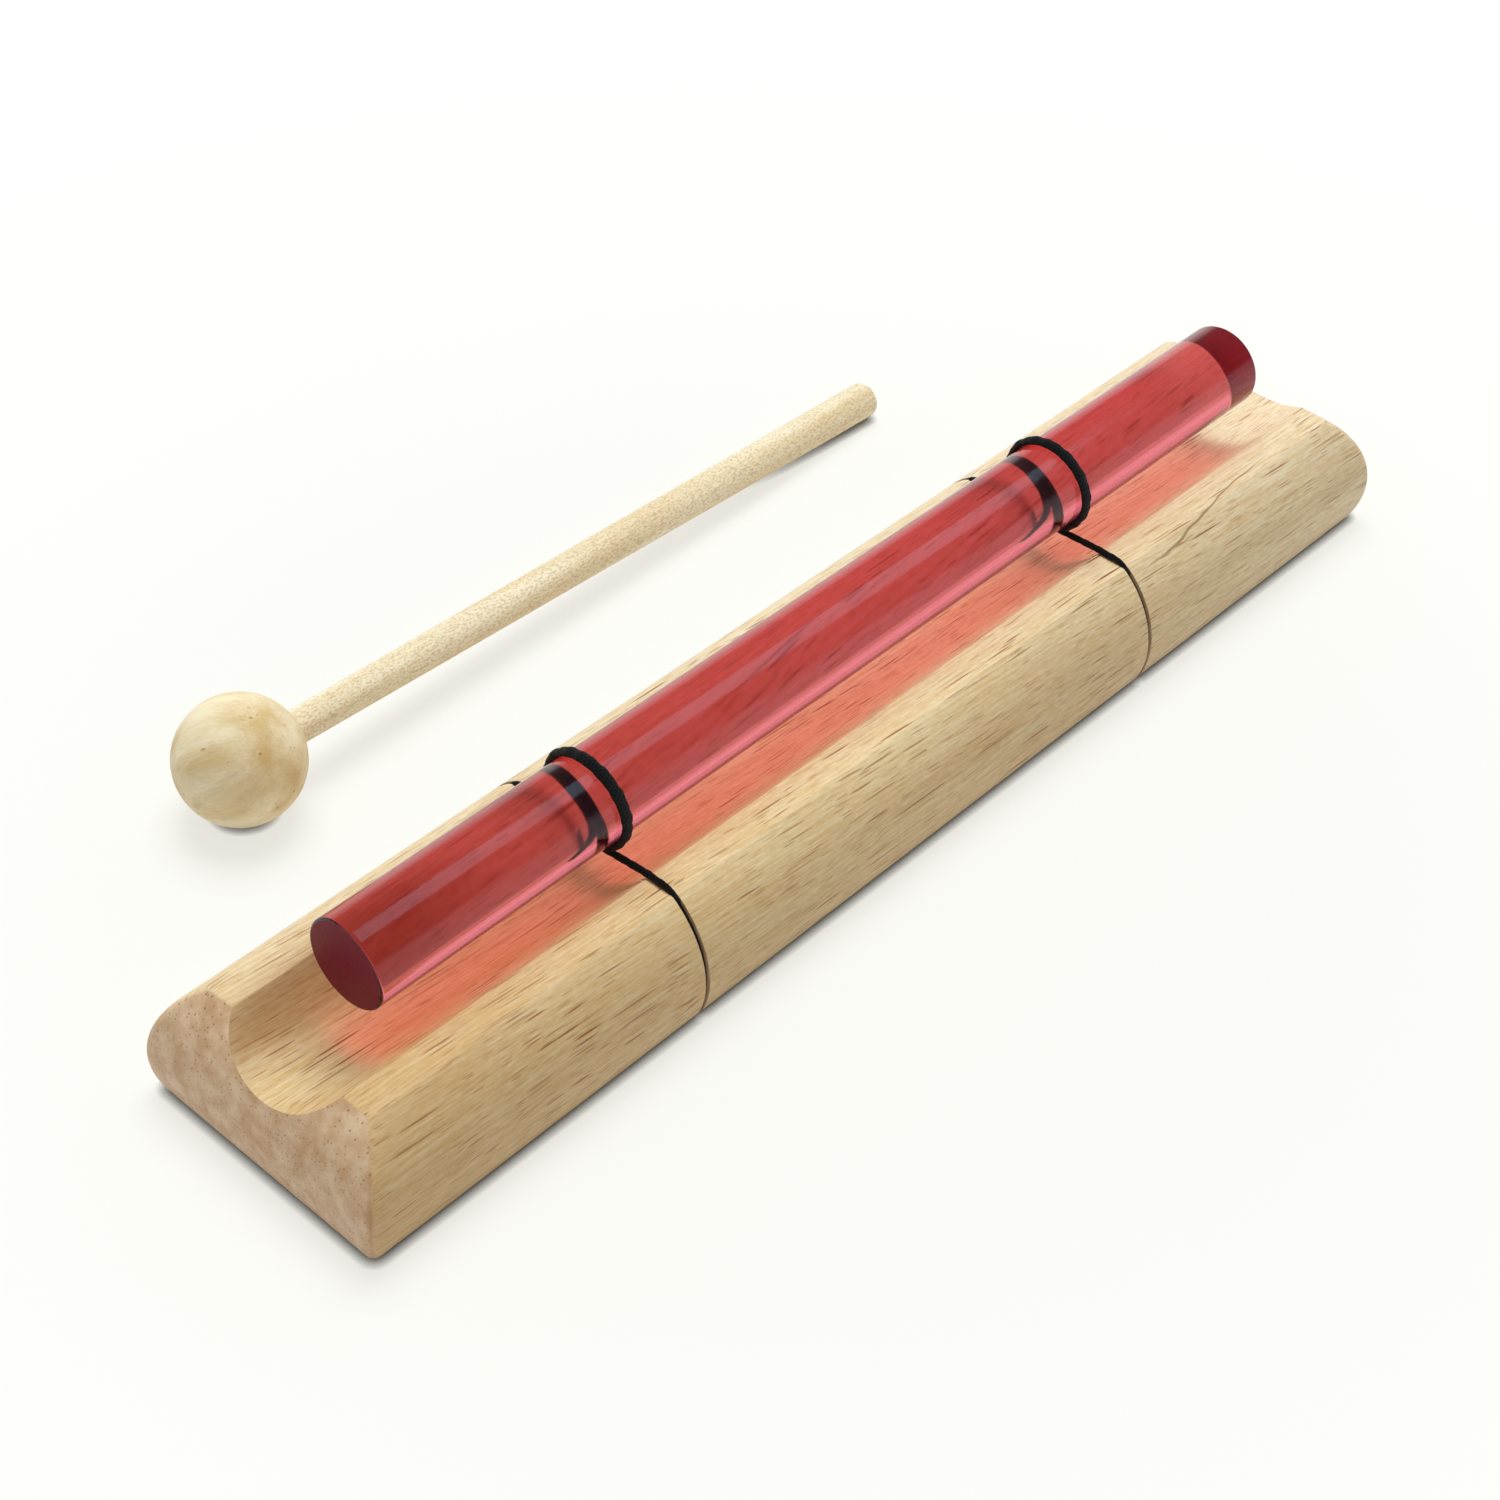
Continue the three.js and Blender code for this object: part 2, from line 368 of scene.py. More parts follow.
# Coordinates along the fibres in millimetres, a little wavy, which drift off the X axis
def fibreCoordinates(tree):
    w = rubberwood
    drift = math.radians(w["grainDrift"])
    turned = objectPlace(tree, (0, -drift * w["driftTilt"], drift))
    slow = addNode(tree, "Mapping", Vector=turned, Scale=[1 / length for length in w["waveLength"]])
    noise = addNode(tree, "TexNoise", Vector=slow, Scale=1, Detail=2)
    centred = addNode(tree, "VectorMath", noise.outputs["Color"], (0.5, 0.5, 0.5), operation="SUBTRACT")
    swing = addNode(tree, "VectorMath", centred, (0, w["waveHeight"], w["waveHeight"]), operation="MULTIPLY")
    return addNode(tree, "VectorMath", turned, swing, operation="ADD")


# Noise stretched along the fibre, remapped to 0..1
def fibreNoise(tree, place, length, width, detail=2, low=0.3, high=0.7):
    scaled = addNode(tree, "Mapping", Vector=place, Scale=(1 / length, 1 / width, 1 / width))
    noise = addNode(tree, "TexNoise", Vector=scaled, Scale=1, Detail=detail)
    return addNode(tree, "MapRange", Value=noise, From_Min=low, From_Max=high)


# Long thin vessels: one in most cells, faint or strong by the cell's own random colour
def poreStreaks(tree, place, length, width, share, skip, darkness):
    scaled = addNode(tree, "Mapping", Vector=place, Scale=(1 / length, 1 / width, 1 / width))
    cells = addNode(tree, "TexVoronoi", Vector=scaled, Scale=1)
    inner, outer = [share * edge for edge in rubberwood["poreEdge"]]
    line = addNode(tree, "MapRange", Value=cells, From_Min=inner, From_Max=outer, To_Min=darkness, To_Max=0)
    chance = addNode(tree, "SeparateColor", cells.outputs["Color"])
    strength = addNode(tree, "MapRange", Value=chance, From_Min=skip, From_Max=1)
    return addNode(tree, "Math", line, strength, operation="MULTIPLY")


# One dark growth line that slants over the far front shoulder
growthLine = {
    "slope": 0.103,
    "place": -22.1,  # across the base
    "waveLength": 10,
    "waveHeight": 2.4,
    "edge": (0.05, 0.22),  # its half width where it is full, and where it is gone
    "darkness": 0.8,
    "middle": 72,  # along the base
    "reach": (12, 19),  # to both sides of its middle, where it is full, and where it is gone
    "height": (16, 18),  # heights where it begins and is full
}


def makeGrowthLine(tree):
    g = growthLine
    place = objectPlace(tree)
    wave = addNode(tree, "TexNoise", Vector=place, Scale=1 / g["waveLength"], Detail=1)
    across = addNode(tree, "VectorMath", place, (-g["slope"], 1, 0), operation="DOT_PRODUCT")
    wander = addNode(tree, "Math", wave, g["waveHeight"], operation="MULTIPLY")
    wavy = addNode(tree, "Math", across, wander, operation="ADD")
    aside = addNode(tree, "Math", wavy, g["place"], operation="SUBTRACT")
    distance = addNode(tree, "Math", aside, operation="ABSOLUTE")
    inner, outer = g["edge"]
    line = addNode(tree, "MapRange", Value=distance, From_Min=inner, From_Max=outer, To_Min=g["darkness"],
                   To_Max=0)
    along = addNode(tree, "SeparateXYZ", place)
    fromMiddle = addNode(tree, "Math", along.outputs["X"], g["middle"], operation="SUBTRACT")
    outwards = addNode(tree, "Math", fromMiddle, operation="ABSOLUTE")
    full, gone = g["reach"]
    started = addNode(tree, "MapRange", Value=outwards, From_Min=gone, From_Max=full)
    low, high = g["height"]
    onTop = addNode(tree, "MapRange", Value=along.outputs["Z"], From_Min=low, From_Max=high)
    shown = addNode(tree, "Math", started, onTop, operation="MULTIPLY")
    return addNode(tree, "Math", line, shown, operation="MULTIPLY")


# Painted shade on the trough's back wall, a browner patch: its share in the middle, 0 at its reach
def paintedShadePatch(tree):
    w = rubberwood
    place = addNode(tree, "TexCoord").outputs["Object"]
    middle = [mm(c) for c in w["paintedShadePlace"]]
    reach = [mm(c) for c in w["paintedShadeReach"]]
    offset = addNode(tree, "VectorMath", place, middle, operation="SUBTRACT")
    scaled = addNode(tree, "VectorMath", offset, reach, operation="DIVIDE")
    distance = addNode(tree, "VectorMath", scaled, operation="LENGTH")
    patch = addNode(tree, "MapRange", Value=distance, From_Min=1, From_Max=w["paintedShadeCore"],
                    interpolation_type="SMOOTHSTEP")
    return addNode(tree, "Math", patch, w["paintedShadeShare"], operation="MULTIPLY")


# The long grain is palest towards the back and the far end, and browner in the near front
def longGrain(tree, fibre, threads, pores):
    w = rubberwood
    speckle = fibreNoise(tree, fibre, *w["speckle"])
    across = addNode(tree, "VectorMath", fibre, (w["lean"], 1, 0), operation="DOT_PRODUCT")
    colour = addNode(tree, "Mix", fibreNoise(tree, fibre, *w["bands"]), linear(w["pale"]), linear(w["deep"]),
                     data_type="RGBA")
    # Paler towards the back and the far end, browner towards the near front
    for zone, tone in (("paleSide", "palest"), ("deepSide", "deep")):
        start, full, most = w[zone]
        share = addNode(tree, "MapRange", Value=across, From_Min=start, From_Max=full, To_Max=most)
        colour = addNode(tree, "Mix", share, colour, linear(w[tone]), data_type="RGBA")
    # Painted shade: the trough's back wall near the near end is browned where it lies in shade
    colour = addNode(tree, "Mix", paintedShadePatch(tree), colour, linear(w["paintedShadeBrown"]), data_type="RGBA")
    fineThreads = addNode(tree, "Math", threads, w["threadShare"], operation="MULTIPLY")
    fineSpeckle = addNode(tree, "Math", speckle, w["speckleShare"], operation="MULTIPLY")
    fine = addNode(tree, "Math", fineThreads, fineSpeckle, operation="ADD")
    colour = addNode(tree, "Mix", fine, colour, linear(w["deep"]), data_type="RGBA", blend_type="MULTIPLY")
    colour = addNode(tree, "Mix", pores, colour, linear(w["pore"]), data_type="RGBA")
    return addNode(tree, "Mix", makeGrowthLine(tree), colour, linear(w["growthLine"]), data_type="RGBA")


def endGrain(tree, fibre):
    w = rubberwood
    mottle = fibreNoise(tree, fibre, *w["endMottle"])
    grit = fibreNoise(tree, fibre, *w["endGrit"])
    marks = addNode(tree, "Math", grit, w["endGritShare"], operation="MULTIPLY")
    deep = linear(w["endGrainDeep"])
    colour = addNode(tree, "Mix", mottle, linear(w["endGrain"]), deep, data_type="RGBA")
    colour = addNode(tree, "Mix", marks, colour, deep, data_type="RGBA", blend_type="MULTIPLY")
    pores = poreStreaks(tree, fibre, *w["endPores"])
    return addNode(tree, "Mix", pores, colour, linear(w["endPore"]), data_type="RGBA")


def makeRubberwood():
    w = rubberwood
    material, tree = newMaterial("rubberwood")
    fibre = fibreCoordinates(tree)
    threads = fibreNoise(tree, fibre, *w["threads"])
    pores = 0.0
    for layer in w["pores"]:
        pores = addNode(tree, "Math", pores, poreStreaks(tree, fibre, *layer), operation="MAXIMUM")

    # End grain shows where the surface faces along the length, with an amber line where sanding burnished it
    normal = addNode(tree, "SeparateXYZ", addNode(tree, "TexCoord").outputs["Normal"])
    facing = addNode(tree, "Math", normal.outputs["X"], operation="ABSOLUTE")
    across = addNode(tree, "Math", normal.outputs["Y"], operation="ABSOLUTE")
    start, full = w["endFacing"]
    ends = addNode(tree, "MapRange", Value=facing, From_Min=start, From_Max=full,
                   interpolation_type="SMOOTHSTEP")
    colour = addNode(tree, "Mix", ends, longGrain(tree, fibre, threads, pores), endGrain(tree, fibre),
                     data_type="RGBA")
    both = addNode(tree, "Math", facing, across, operation="MINIMUM")
    start, full = w["cornerFacing"]
    corner = addNode(tree, "MapRange", Value=both, From_Min=start, From_Max=full,
                     interpolation_type="SMOOTHSTEP")
    amber = addNode(tree, "Math", corner, w["cornerShare"], operation="MULTIPLY")
    colour = addNode(tree, "Mix", amber, colour, linear(w["edgeAmber"]), data_type="RGBA")

    raised = addNode(tree, "Math", threads, w["threadHeight"], operation="MULTIPLY")
    height = addNode(tree, "Math", raised, pores, operation="SUBTRACT")
    bump = addNode(tree, "Bump", Height=height, Strength=w["bumpStrength"], Distance=mm(w["bumpHeight"]))
    shader = addNode(tree, "BsdfPrincipled", Base_Color=colour, Roughness=w["roughness"], IOR=w["ior"],
                     Normal=bump)
    addNode(tree, "OutputMaterial", Surface=shader)
    return material


makeWoodBase(makeRubberwood())
print("wood base ready")


# Glass rod

glassRod = {
    "diameter": 13.9,
    "length": 191,
    "axisHeight": 28.1,
    "endEase": 0.35,
    "easeSteps": 4,
    "endLoop": 0.42,  # from each end, where a loop keeps the rounding's shading off the long surface
    "endFacing": 0.99,  # how squarely a face looks along the length when it is part of a ground end
    "segments": 160,
    "sharpAngle": 40,
    "roughness": 0.1,
    "ior": 1.48,
    "absorbColour": (0.98, 0.21, 0.37, 1),
    "absorbDensity": 125,  # per metre, so that 14 mm of glass lets most red and little green through
    "shadowTint": "#fdeae4",
    "bodyTint": "#e8d2d2",
    "glossTint": "#d8ccdc",
    "endColour": "#7a182e",
    # painted light: the far end's lighter copy of the end colour, for how it is lit
    "paintedLightFarEnd": "#e4647f",
    "endRoughness": 0.35,
    "endIor": 1.2,
    "gritColour": "#35070f",
    "gritWidth": 0.5,  # of the marks that grinding left, drawn coarser than they are so that they show
    "gritShare": 0.2,
    "gritStrength": 0.25,
    "gritHeight": 0.05,
}


# Light falls red on the wood through the rod: shadow rays meet a clear surface, and the depth colours them
def finishGlass(tree, surface):
    g = glassRod
    passing = addNode(tree, "BsdfTransparent", Color=linear(g["shadowTint"]))
    isShadow = addNode(tree, "LightPath").outputs["Is Shadow Ray"]
    mixed = addNode(tree, "MixShader", isShadow, surface, passing)
    depth = addNode(tree, "VolumeAbsorption", Color=g["absorbColour"], Density=g["absorbDensity"])
    addNode(tree, "OutputMaterial", Surface=mixed, Volume=depth)


# Drawn borosilicate glass, coloured through: clear and glossy, red by its depth
def makeRedGlass():
    g = glassRod
    material, tree = newMaterial("redGlass")
    glass = addNode(tree, "BsdfPrincipled", Base_Color=linear(g["bodyTint"]), Roughness=g["roughness"],
                    IOR=g["ior"], Transmission_Weight=1, Specular_Tint=linear(g["glossTint"]))
    finishGlass(tree, glass)
    return material


# Sawn end of the glass, ground flat: satin, and dark with the whole length of red glass behind it. The far
# end is seen through the rod, lit from outside, and is painted a lighter colour: painted light.
def makeGroundEnd():
    g = glassRod
    material, tree = newMaterial("groundGlassEnd")
    place = objectPlace(tree)
    along = addNode(tree, "SeparateXYZ", place)
    paintedLightOnFar = addNode(tree, "Math", along, 0, operation="GREATER_THAN")
    grit = fibreNoise(tree, place, g["gritWidth"], g["gritWidth"])
    marks = addNode(tree, "Math", grit, g["gritShare"], operation="MULTIPLY")
    # Painted light: the far end gets the lighter copy of the colour
    colour = addNode(tree, "Mix", paintedLightOnFar, linear(g["endColour"]), linear(g["paintedLightFarEnd"]), data_type="RGBA")
    colour = addNode(tree, "Mix", marks, colour, linear(g["gritColour"]), data_type="RGBA")
    bump = addNode(tree, "Bump", Height=grit, Strength=g["gritStrength"], Distance=mm(g["gritHeight"]))
    shader = addNode(tree, "BsdfPrincipled", Base_Color=colour, Roughness=g["endRoughness"], IOR=g["endIor"],
                     Normal=bump)
    finishGlass(tree, shader)
    return material


def makeGlassRod(material, endMaterial):
    g = glassRod
    bm = bmesh.new()
    turn = Matrix.Translation((0, 0, mm(g["axisHeight"]))) @ Matrix.Rotation(math.pi / 2, 4, "Y")
    bmesh.ops.create_cone(bm, cap_ends=True, segments=g["segments"], radius1=mm(g["diameter"] / 2),
                          radius2=mm(g["diameter"] / 2), depth=mm(g["length"]), matrix=turn)
    # Only the two caps have more than four corners
    rims = [edge for edge in bm.edges if any(len(face.verts) > 4 for face in edge.link_faces)]
    bmesh.ops.bevel(bm, geom=rims, offset=mm(g["endEase"]), segments=g["easeSteps"], profile=0.5,
                    affect="EDGES", material=-1)
    cutNearEnds(bm, g["length"] / 2 - g["endLoop"])
    bmesh.ops.recalc_face_normals(bm, faces=bm.faces)
    piece = finishPiece(bm, "rodOfGlass", material, g["sharpAngle"])
    piece.data.materials.append(endMaterial)
    for face in piece.data.polygons:
        if abs(face.normal.x) > g["endFacing"]:
            face.material_index = 1
    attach(piece, "rod")
    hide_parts("glass_rod")


makeGlassRod(makeRedGlass(), makeGroundEnd())
print("glass rod ready")


# Elastic cords

elasticCord = {
    "width": 1.85,
    "thinness": 0.62,  # the ring is pressed flat on the glass, to this share of its width
    "shift": 0.6,  # of the ring from the kerf towards the near end
    "lean": 0.9,  # of the ring's top, further that way
    "stretched": 1.15,  # thickness of the strand between rod and crest, where it is pulled thin
    "legThinness": 0.8,
    "inKerf": 0.72,
    "kerfInset": 0.75,  # of the cord's middle below the wood's surface
    "strandPitch": 1.3,
    "thinEnds": 0.125,  # share of the ring at each end in which it narrows
    "thinFrom": 0.62,  # share of a leg from which it narrows towards the kerf
    "overlap": 0.16,  # radians past the rod's lowest line at which the ring ends and the legs start
    "partFrom": 0.25,  # share of the ring from its top where its strands begin to part
    "partOver": 0.125,  # and the share over which they do
    "crestLift": 0.4,  # height of a leg's middle above the crest, in thicknesses
    # Points of a leg, outwards and up from the trough's rim and from the crest's outer edge
    "rimPoints": ((0, 0), (1, 0)),
    "edgePoints": ((-0.5, -0.15), (1.1, -1.5)),
    "kerfSkip": 4,  # points at the crest's edge that the kerf run leaves to each leg
    "colour": "#101315",
    # painted shade: the grooves between the braid's strands are drawn darker
    "paintedGrooveShade": "#040505",
    "sheenColour": "#36454c",
    "sheen": 0.12,
    "roughness": 0.7,
    "ior": 1.35,
    "braidPitch": 1.3,
    "braidStrands": 6,
    "braidSlant": 2,
    "weaveStrength": 0.8,
    "weaveHeight": 0.2,
    "unevenness": 0.09,  # of the thickness, from the hand winding
    "windingWaves": (1.3, 0.37),  # radians per step of the two waves that make it
    "sharpAngle": 60,
    "steps": {"ring": 96, "leg": 47, "kerf": 119, "knot": 12},
}


# Tube along points, with a radius for each; its UV map runs round it and along it in millimetres
def tubeAlong(points, radii, thinness=1, sides=16):
    bm = bmesh.new()
    uv = bm.loops.layers.uv.new("along")
    points = [Vector([mm(c) for c in p]) for p in points]
    last = len(points) - 1
    side = Vector((1, 0, 0))
    ring = bmesh.ops.create_circle(bm, cap_ends=True, segments=sides, radius=1)["verts"]
    unit = [v.co.copy() for v in ring]
    rings = [ring]
    region = bm.faces[:] + bm.edges[:]
    lengths = [0]
    for i, point in enumerate(points):
        if i:
            region = bmesh.ops.extrude_face_region(bm, geom=region)["geom"]
            fresh = set(region)
            ring = [next(e.other_vert(v) for e in v.link_edges if e.other_vert(v) in fresh) for v in ring]
            rings.append(ring)
            lengths.append(lengths[-1] + (point - points[i - 1]).length * 1000)
        tangent = (points[min(i + 1, last)] - points[max(i - 1, 0)]).normalized()
        side = (side - tangent * side.dot(tangent)).normalized()
        other = tangent.cross(side)
        for vert, flat in zip(ring, unit):
            vert.co = point + (side * flat.x + other * flat.y * thinness) * mm(radii[i])
    bmesh.ops.recalc_face_normals(bm, faces=bm.faces)
    where = {v: (k, i) for i, ring in enumerate(rings) for k, v in enumerate(ring)}
    for face in bm.faces:
        around = [where[loop.vert][0] for loop in face.loops]
        wraps = max(around) - min(around) > sides / 2
        for loop in face.loops:
            k, i = where[loop.vert]
            loop[uv].uv = ((k + sides if wraps and k == 0 else k) / sides, lengths[i])
    return bm


# Points evenly spread by length on a smooth line through a few points
def smoothRoute(points, steps):
    curve = bpy.data.curves.new("route", "CURVE")
    curve.dimensions = "3D"
    curve.resolution_u = elasticCord["steps"]["knot"]
    spline = curve.splines.new("BEZIER")
    spline.bezier_points.add(len(points) - 1)
    for knot, point in zip(spline.bezier_points, points):
        knot.co = point
        knot.handle_left_type = knot.handle_right_type = "AUTO"
    helper = bpy.data.objects.new("route", curve)
    bpy.context.scene.collection.objects.link(helper)
    mesh = bakeModifiers(helper)
    line = [v.co.copy() for v in mesh.vertices]
    bpy.data.meshes.remove(mesh)
    reach = [0]
    for a, b in zip(line, line[1:]):
        reach.append(reach[-1] + (b - a).length)
    spread = []
    k = 0
    for i in range(steps + 1):
        target = reach[-1] * i / steps
        while k < len(reach) - 2 and reach[k + 1] < target:
            k += 1
        share = (target - reach[k]) / (reach[k + 1] - reach[k])
        spread.append(line[k].lerp(line[k + 1], min(max(share, 0), 1)))
    return spread


# Braided cover of an elastic cord, black nylon: matt, with a fine diagonal weave and a cool sheen. The
# weave's
# grooves are painted darker: painted shade.
def makeBlackBraid():
    c = elasticCord
    material, tree = newMaterial("blackBraid")
    uv = addNode(tree, "SeparateXYZ", addNode(tree, "UVMap", uv_map="along"))
    along = addNode(tree, "Math", uv.outputs["Y"], c["braidPitch"], operation="DIVIDE")
    around = addNode(tree, "Math", uv.outputs["X"], c["braidStrands"], operation="MULTIPLY")
    waves = []
    for slant in (c["braidSlant"], -c["braidSlant"]):
        slanted = addNode(tree, "Math", along, slant, operation="MULTIPLY")
        turns = addNode(tree, "Math", around, slanted, operation="ADD")
        angle = addNode(tree, "Math", turns, 2 * math.pi, operation="MULTIPLY")
        waves.append(addNode(tree, "Math", angle, operation="SINE"))
    weave = addNode(tree, "Math", *waves, operation="MAXIMUM")
    lift = addNode(tree, "MapRange", Value=weave, From_Min=-1, From_Max=1)
    # Painted shade: darker in the grooves between the strands
    colour = addNode(tree, "Mix", lift, linear(c["paintedGrooveShade"]), linear(c["colour"]), data_type="RGBA")
    bump = addNode(tree, "Bump", Height=lift, Strength=c["weaveStrength"], Distance=mm(c["weaveHeight"]))
    shader = addNode(tree, "BsdfPrincipled", Base_Color=colour, Roughness=c["roughness"], IOR=c["ior"],
                     Sheen_Weight=c["sheen"], Sheen_Tint=linear(c["sheenColour"]), Normal=bump)
    addNode(tree, "OutputMaterial", Surface=shader)
    return material


def cordPiece(name, points, radii, material, thinness=1):
    piece = finishPiece(tubeAlong(points, radii, thinness), name, material, elasticCord["sharpAngle"])
    return piece


# Radii along a strand, a little uneven, where thickness gives its size for the share of the way from 0 to 1
def strandRadii(steps, thickness):
    radii = []
    quick, slow = elasticCord["windingWaves"]
    for i in range(steps + 1):
        swell = elasticCord["unevenness"] * math.sin(i * quick) * math.sin(i * slow + 1)
        radii.append(thickness(i / steps) / 2 * (1 + swell))
    return radii


# The ring is full round the rod and thin at its two ends, and a leg is thinnest where it meets the kerf
def ringThickness(share):
    c = elasticCord
    fullness = min(1, min(share, 1 - share) / c["thinEnds"])
    return c["stretched"] + (c["width"] - c["stretched"]) * fullness


def legThickness(share):
    c = elasticCord
    narrowing = max(0, share - c["thinFrom"]) / (1 - c["thinFrom"])
    return c["stretched"] - (c["stretched"] - c["inKerf"]) * narrowing


# Once round the rod, its ends under the rod side by side
def makeCordRing(name, place, material):
    c, g = elasticCord, glassRod
    steps = c["steps"]["ring"]
    radii = strandRadii(steps, ringThickness)
    points = []
    for i in range(steps + 1):
        share = i / steps
        angle = -c["overlap"] + (2 * math.pi + 2 * c["overlap"]) * share
        parting = min(1, max(0, abs(share - 0.5) - c["partFrom"]) / c["partOver"])
        aside = c["strandPitch"] * (share - 0.5) * parting
        radius = g["diameter"] / 2 + radii[i] * c["thinness"]
        back = c["shift"] + c["lean"] * (1 - math.cos(angle)) / 2
        height = g["axisHeight"] - radius * math.cos(angle)
        points.append((place + aside - back, -radius * math.sin(angle), height))
    piece = cordPiece(name, points, radii, material, c["thinness"])
    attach(piece, "rod")
    return piece


# Strand from under the rod to the crest's outer edge, on one side of the trough, where it dips into the kerf
def makeCordLeg(name, place, side, material):
    c, g, b = elasticCord, glassRod, woodBase
    radius = g["diameter"] / 2 + c["stretched"] / 2 * c["thinness"]
    lift = b["crestHeight"] + c["stretched"] * c["crestLift"]
    rimY = math.sqrt(b["troughRadius"] ** 2 - (b["troughRadius"] - b["troughDepth"]) ** 2)
    crestY = sideProfile()[-1][0]
    startX = place - c["shift"] + side * c["strandPitch"] / 2
    startZ = g["axisHeight"] - radius * math.cos(c["overlap"])
    route = [(startX, side * radius * math.sin(c["overlap"]), startZ)]
    for edgeY, points in ((rimY, c["rimPoints"]), (crestY, c["edgePoints"])):
        route += [(place, side * (edgeY + outwards), lift + up) for outwards, up in points]
    steps = c["steps"]["leg"]
    radii = strandRadii(steps, legThickness)
    piece = cordPiece(name, smoothRoute(route, steps), radii, material, c["legThinness"])
    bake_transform(piece)
    return piece


# The stretch pressed into the kerf, down one flank, along the underside and up the other flank
def makeKerfRun(name, place, material):
    c = elasticCord
    half = sideProfile(c["kerfInset"])
    route = [(place, y, z) for y, z in half[::-1] + [(-y, z) for y, z in half]]
    skip = c["kerfSkip"]
    points = smoothRoute(route[skip:-skip], c["steps"]["kerf"])
    piece = cordPiece(name, points, [c["inKerf"] / 2] * len(points), material)
    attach(piece, "base")
    return piece


def makeCords(material):
    spacing = woodBase["kerfSpacing"] / 2
    for node, place in (("near", -spacing), ("far", spacing)):
        ring = makeCordRing(node + "CordRing", place, material)
        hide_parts(node + "_cord")
        makeCordLeg(node + "CordFrontLeg", place, -1, material)
        makeCordLeg(node + "CordBackLeg", place, 1, material)
        makeKerfRun(node + "CordKerfRun", place, material)


makeCords(makeBlackBraid())
print("cords ready")


# Mallet

mallet = {
    "headDiameter": 20,
    "socketDepth": 14,
    "socketEase": 0.15,
    "neckDiameter": 5.3,
    "tipDiameter": 6.2,
    "reach": 142.2,
    "tipRound": 1.3,
    "handleGap": 0.25,  # between the handle's inner end and the socket's bottom
    "headPlace": (-68.4, 54.8),
    "yaw": 0.5,
    "sharpAngle": 50,
    "steps": {"ball": 56, "ballRound": 96, "taper": 40, "tip": 10, "handleRound": 64},
}


# The mallet is made along +X from the ball's centre and laid down on its ball and its tip
def malletPlace():
    m = mallet
    tilt = math.asin((m["headDiameter"] - m["tipDiameter"]) / 2 / m["reach"])
    place = Vector([mm(c) for c in (*m["headPlace"], m["headDiameter"] / 2)])
    return (Matrix.Translation(place) @ Matrix.Rotation(math.radians(m["yaw"]), 4, "Z")
            @ Matrix.Rotation(tilt, 4, "Y"))


# Profile of (place along X, radius) points, spun about the X axis and laid in its place
def turnedPiece(profile, segments):
    bm = bmesh.new()
    verts = [bm.verts.new((mm(x), 0, mm(r))) for x, r in profile]
    edges = [bm.edges.new(pair) for pair in zip(verts, verts[1:])]
    bmesh.ops.spin(bm, geom=verts + edges, cent=(0, 0, 0), axis=(1, 0, 0), angle=2 * math.pi, steps=segments,
                   use_merge=True)
    bmesh.ops.remove_doubles(bm, verts=bm.verts, dist=sameSpot)
    bmesh.ops.recalc_face_normals(bm, faces=bm.faces)
    bmesh.ops.transform(bm, matrix=malletPlace(), verts=bm.verts)
    return bm


def makeMalletHead(material):
    m = mallet
    radius = m["headDiameter"] / 2
    socket = m["neckDiameter"] / 2 + m["socketEase"]
    bottom = radius - m["socketDepth"]
    ball = arcPoints((0, 0), radius, math.asin(socket / radius), math.pi, m["steps"]["ball"])
    profile = [(bottom, 0), (bottom, socket), *ball[:-1], (-radius, 0)]
    head = turnedPiece(profile, m["steps"]["ballRound"])
    piece = finishPiece(head, "headOfMallet", material, m["sharpAngle"])
    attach(piece, "mallet")
    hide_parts("mallet_head")


def makeMalletHandle(material):
    m = mallet
    steps = m["steps"]["taper"]
    neck, tip = m["neckDiameter"] / 2, m["tipDiameter"] / 2
    start = m["headDiameter"] / 2 - m["socketDepth"] + m["handleGap"]
    end = m["reach"] - m["tipRound"]
    taper = [(start + (end - start) * i / steps, neck + (tip - neck) * i / steps) for i in range(steps + 1)]
    turn = arcPoints((end, tip - m["tipRound"]), m["tipRound"], math.pi / 2, 0, m["steps"]["tip"])
    profile = [(start, 0), *taper, *turn[1:], (m["reach"], 0)]
    handle = turnedPiece(profile, m["steps"]["handleRound"])
    piece = finishPiece(handle, "handleOfMallet", material, m["sharpAngle"])
    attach(piece, "mallet")
    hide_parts("mallet_handle")


malletWood = {
    "headPale": "#fdf4d4",
    "headDeep": "#dfc58b",
    "handlePale": "#fff8dc",
    "handleDeep": "#ecdab0",
    "fleck": "#b88f56",
    "speck": "#a97e47",
    "headTurn": (0.3, 0.5, 0.9),  # of its grain, in radians
    # Patterns, as in the rubberwood
    "headBands": (60, 4.5, 3),
    "headThreads": (5, 0.3),
    "headStains": (7, 2.2, 3, 0.56, 0.75),
    "headSpecks": (3.2, 1.5, 0.15, 0.55, 0.9),
    "handleBands": (60, 2.2),
    "handleFlecks": (0.6, 0.26, 3, 0.46, 0.62),
    "threadShare": 0.3,
    "stainShare": 0.35,
    "fleckShare": 0.45,
    "headRoughness": 0.5,
    "handleRoughness": 0.6,
    "ior": 1.45,
    "headBump": (0.2, 0.05),  # strength, and height in millimetres
    "handleBump": (0.25, 0.06),
}


def finishMalletWood(tree, colour, height, part):
    w = malletWood
    strength, size = w[part + "Bump"]
    bump = addNode(tree, "Bump", Height=height, Strength=strength, Distance=mm(size))
    shader = addNode(tree, "BsdfPrincipled", Base_Color=colour, Roughness=w[part + "Roughness"],
                     IOR=w["ior"], Normal=bump)
    addNode(tree, "OutputMaterial", Surface=shader)


